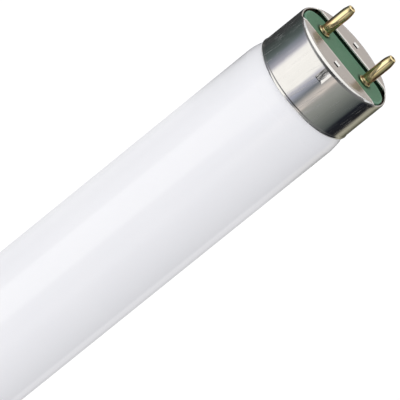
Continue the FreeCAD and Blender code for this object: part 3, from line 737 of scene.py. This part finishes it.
stretched = Matrix.Diagonal((OVAL_HALF_HEIGHT, OVAL_HALF_WIDTH, 1, 1))
oval = Matrix.Translation(OVAL_PLACE) @ standing @ stretched
bmesh.ops.create_circle(made, cap_ends=True, segments=96, radius=1.0, matrix=oval)
white_card = staged("white_card", made)
white_card.data.materials.append(glowing(
    "white_card", [(0.0, (1.2, 1.18, 1.15)), (1.0, (1.5, 1.48, 1.44))],
    OVAL_FADE_STARTS, OVAL_FADE_ENDS))
print(dim_card.name, "and", white_card.name, "stand", WALL_PLACE[0], "m from the middle")

# %% [markdown]
# ## The same cards at the other end
#
# The tube looks alike from either end, so the other end gets the same cards. They could be built
# twice. A copy that shares the mesh and is turned half round about Z is shorter, and follows every
# change to the mesh of the first.

# %% The same cards at the other end
for card in (low_card, dim_card, white_card):
    twin = card.copy()
    twin.rotation_euler.z = math.pi
    bpy.context.scene.collection.objects.link(twin)
    for_reflections_only(card)
    for_reflections_only(twin)
    print(card.name, "and", twin.name, "are seen only in reflections")

# %% [markdown]
# ## World
#
# The glass and the plastic get most of their light from all sides, as in a tent of white cloth: a
# soft even world. To the camera the world is plain white. One strength for both would be simpler,
# but then a white background would need more light on the object. The Light Path node tells the two
# apart.

# %% World
EVEN_LIGHT = (0.865, 0.865, 0.885, 1)
world = bpy.data.worlds.new("studio")
bpy.context.scene.world = world
world.use_nodes = True
tree = world.node_tree
tree.nodes.clear()
path = add_node(tree, "LightPath")
even = add_node(tree, "Background", {"Color": EVEN_LIGHT})
plain_white = add_node(tree, "Background", {"Color": (1, 1, 1, 1)})
either = add_node(tree, "MixShader", {
    0: path.outputs["Is Camera Ray"], 1: even.outputs[0], 2: plain_white.outputs[0]})
plug(tree, tree.nodes.new("ShaderNodeOutputWorld").inputs["Surface"], either.outputs[0])
print(world.name, "gives an even light of", EVEN_LIGHT[:3])

# %% [markdown]
# ## Lamp
#
# One large lamp from above, on the rear side, gives the light a soft direction. Together with the
# world it gives a surface that faces it a light of about 1, at which a colour renders as it is
# written. A sun would give the direction too, but with hard shadows. Reflections see the tent and
# the cards, and not the lamp, which would show as a white rectangle in the metal.

# %% Lamp
KEY_POWER = 3.8
KEY_LEAN = math.radians(40)
KEY_DISTANCE = 1.2
KEY_LENGTH, KEY_WIDTH = 1.6, 0.8
key = bpy.data.lights.new("key", "AREA")
key.shape = "RECTANGLE"
key.size = KEY_LENGTH
key.size_y = KEY_WIDTH
key.energy = KEY_POWER
key_lamp = bpy.data.objects.new("key", key)
bpy.context.scene.collection.objects.link(key_lamp)
direction = Vector((0, math.sin(KEY_LEAN), math.cos(KEY_LEAN)))
facing = direction.to_track_quat("Z", "X").to_matrix().to_4x4()
key_lamp.matrix_world = Matrix.Translation(direction * KEY_DISTANCE) @ facing
key_lamp.visible_glossy = False
print("lamp at", [round(value, 2) for value in key_lamp.matrix_world.translation])

# %% [markdown]
# ## Camera
#
# The photograph looks steeply down on the end of the tube, from a little in front of its face, and
# is turned so that the tube runs up to the right. The angle follows from the shape of the round
# face, which shows as an ellipse, and the width of the frame from the width of the glass. The pins
# look equally long, so the camera was far away: a long lens at two metres does the same. A camera
# can be aimed with a constraint. Here its three axes are written down, because the roll is then
# plain to see.

# %% Camera
ELEVATION = math.radians(70.4)
ROLL = math.radians(38.915)
DISTANCE = 2.0
FRAME_WIDTH = 79.7 * MM
AIM = Vector((251.81 * MM, -4.16 * MM, 0))
toward = Vector((math.cos(ELEVATION), 0, math.sin(ELEVATION)))
along = Vector((math.sin(ELEVATION), 0, -math.cos(ELEVATION)))
across = toward.cross(along)
right = along * math.cos(ROLL) - across * math.sin(ROLL)
up = along * math.sin(ROLL) + across * math.cos(ROLL)
camera = bpy.data.objects.new("camera", bpy.data.cameras.new("camera"))
bpy.context.scene.collection.objects.link(camera)
bpy.context.scene.camera = camera
axes = Matrix((right, up, toward)).transposed().to_4x4()
camera.matrix_world = Matrix.Translation(AIM + toward * DISTANCE) @ axes
camera.data.sensor_width = 36
camera.data.lens = camera.data.sensor_width * DISTANCE / FRAME_WIDTH
camera.data.clip_start = 0.1
camera.data.clip_end = 100
bpy.context.scene.view_settings.view_transform = "Standard"
print("camera with a lens of", round(camera.data.lens), "mm")
